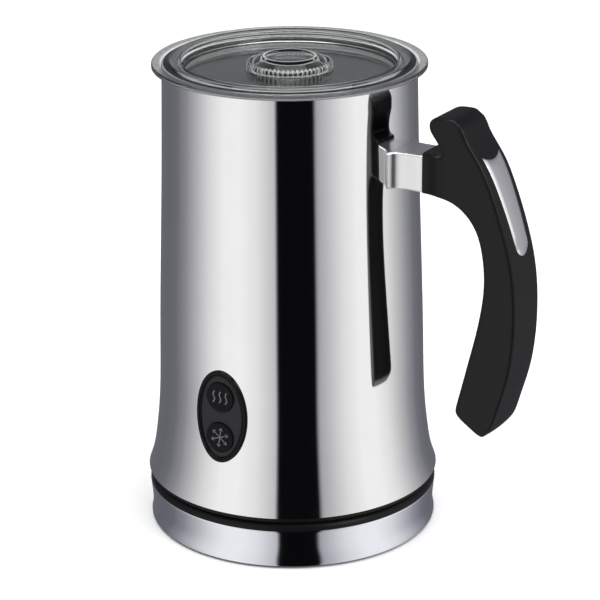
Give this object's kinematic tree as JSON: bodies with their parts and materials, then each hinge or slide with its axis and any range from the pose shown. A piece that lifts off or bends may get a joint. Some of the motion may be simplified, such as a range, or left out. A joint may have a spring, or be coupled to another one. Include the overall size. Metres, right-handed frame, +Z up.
{
  "type": "milk frother",
  "caption": "Electric milk frother: polished double-walled jug with clear lid, side handle, oval button panel and magnetic whisk, standing on a round power base.",
  "frame": {"origin": "centre of the base on the surface that it stands on", "axes": "+Z up along the jug's axis, +X from the axis towards the handle, -Y towards the button panel"},
  "size_m": [0.1587, 0.114, 0.1863],
  "materials": {
    "polished_steel": "mirror polished",
    "bracket_steel": "polished",
    "bright_band": "mirror polished",
    "pot_coating": "non-stick coating on steel",
    "plain_steel": "plain",
    "screw_steel": "zinc plated",
    "satin_inlay": "satin",
    "heater_aluminium": "cast",
    "black_plastic": "satin moulded",
    "grip_plastic": "satin moulded",
    "gloss_black": "gloss",
    "panel_grey": "satin",
    "button_black": "satin",
    "clear_lid": "clear moulded plastic",
    "silicone": "matt",
    "foot_rubber": "matt",
    "brass_contact": "plain",
    "circuit_green": "solder mask",
    "component_black": "moulded",
    "whisk_plastic": "satin moulded",
    "magnet_metal": "nickel plated",
    "winding_copper": "enamelled",
    "led_lens": "clear"
  },
  "bodies": {
    "power_base": {"foot_ring": "foot_rubber", "base_bottom_plate": "black_plastic", "base_plate_screws": "screw_steel", "base_band": "bright_band", "base_housing": "black_plastic", "cord_grommet": "foot_rubber", "base_connector": "black_plastic", "connector_screws": "screw_steel", "base_contacts": "brass_contact"},
    "jug_coupler": {"jug_connector": "black_plastic", "jug_contacts": "brass_contact"},
    "jug": {"bottom_cover": "black_plastic", "bottom_cover_screws": "screw_steel", "outer_shell": "polished_steel", "milk_pot": "pot_coating", "heat_plate": "heater_aluminium", "heater_element": "heater_aluminium", "thermal_cutoff": "component_black", "temperature_sensor": "plain_steel", "frame_posts": "plain_steel", "post_spacers": "plain_steel", "motor_bracket": "plain_steel", "motor_screws": "screw_steel", "motor_can": "plain_steel", "motor_end_cap": "component_black", "motor_bushing": "brass_contact", "motor_field_magnets": "component_black", "power_board": "circuit_green", "board_screws": "screw_steel", "board_relay": "component_black", "board_capacitor": "component_black", "panel_bezel": "gloss_black", "panel_face": "panel_grey", "panel_frame": "black_plastic", "button_board": "circuit_green", "button_board_screws": "screw_steel", "tact_switches": "component_black", "indicator_leds": "led_lens", "handle_bracket": "bracket_steel", "bracket_screws": "screw_steel", "handle_backing_plate": "plain_steel", "handle_grip": "grip_plastic", "grip_screw": "screw_steel", "handle_inlay": "satin_inlay", "whisk_post": "plain_steel"},
    "hot_button": {"hot_button_cap": "button_black", "hot_switch_plunger": "component_black"},
    "cold_button": {"cold_button_cap": "button_black", "cold_switch_plunger": "component_black"},
    "motor_rotor": {"motor_armature": "winding_copper", "motor_shaft": "plain_steel", "drive_hub": "component_black", "drive_magnets": "magnet_metal"},
    "whisk_sleeve": {"whisk_sleeve": "whisk_plastic"},
    "whisk": {"whisk_hub": "whisk_plastic", "whisk_coil": "plain_steel", "whisk_magnets": "magnet_metal"},
    "lid": {"lid": "clear_lid", "lid_seal": "silicone"}
  },
  "joints": [
    {"name": "jug_lift", "type": "slide", "parent": "power_base", "child": "jug_coupler", "axis": [0, 0, 1], "range_m": [0, 0.06]},
    {"name": "jug_turn", "type": "hinge", "parent": "jug_coupler", "child": "jug", "pos_m": [0, 0, 0.02], "axis": [0, 0, 1], "continuous": true},
    {"name": "lid_lift", "type": "slide", "parent": "jug", "child": "lid", "axis": [0, 0, 1], "range_m": [0, 0.06]},
    {"name": "hot_button_press", "type": "slide", "parent": "jug", "child": "hot_button", "axis": [0, 1, 0], "range_m": [0, 0.0008], "stiffness_N_per_m": 1500},
    {"name": "cold_button_press", "type": "slide", "parent": "jug", "child": "cold_button", "axis": [0, 1, 0], "range_m": [0, 0.0008], "stiffness_N_per_m": 1500},
    {"name": "motor_spin", "type": "hinge", "parent": "jug", "child": "motor_rotor", "pos_m": [0, 0, 0.07], "axis": [0, 0, 1], "continuous": true},
    {"name": "whisk_lift", "type": "slide", "parent": "jug", "child": "whisk_sleeve", "axis": [0, 0, 1], "range_m": [0, 0.06]},
    {"name": "whisk_spin", "type": "hinge", "parent": "whisk_sleeve", "child": "whisk", "pos_m": [0, 0, 0.09], "axis": [0, 0, 1], "continuous": true}
  ],
  "couplings": [
    {"joint": "whisk_spin", "follows": "motor_spin", "ratio": 1}
  ]
}
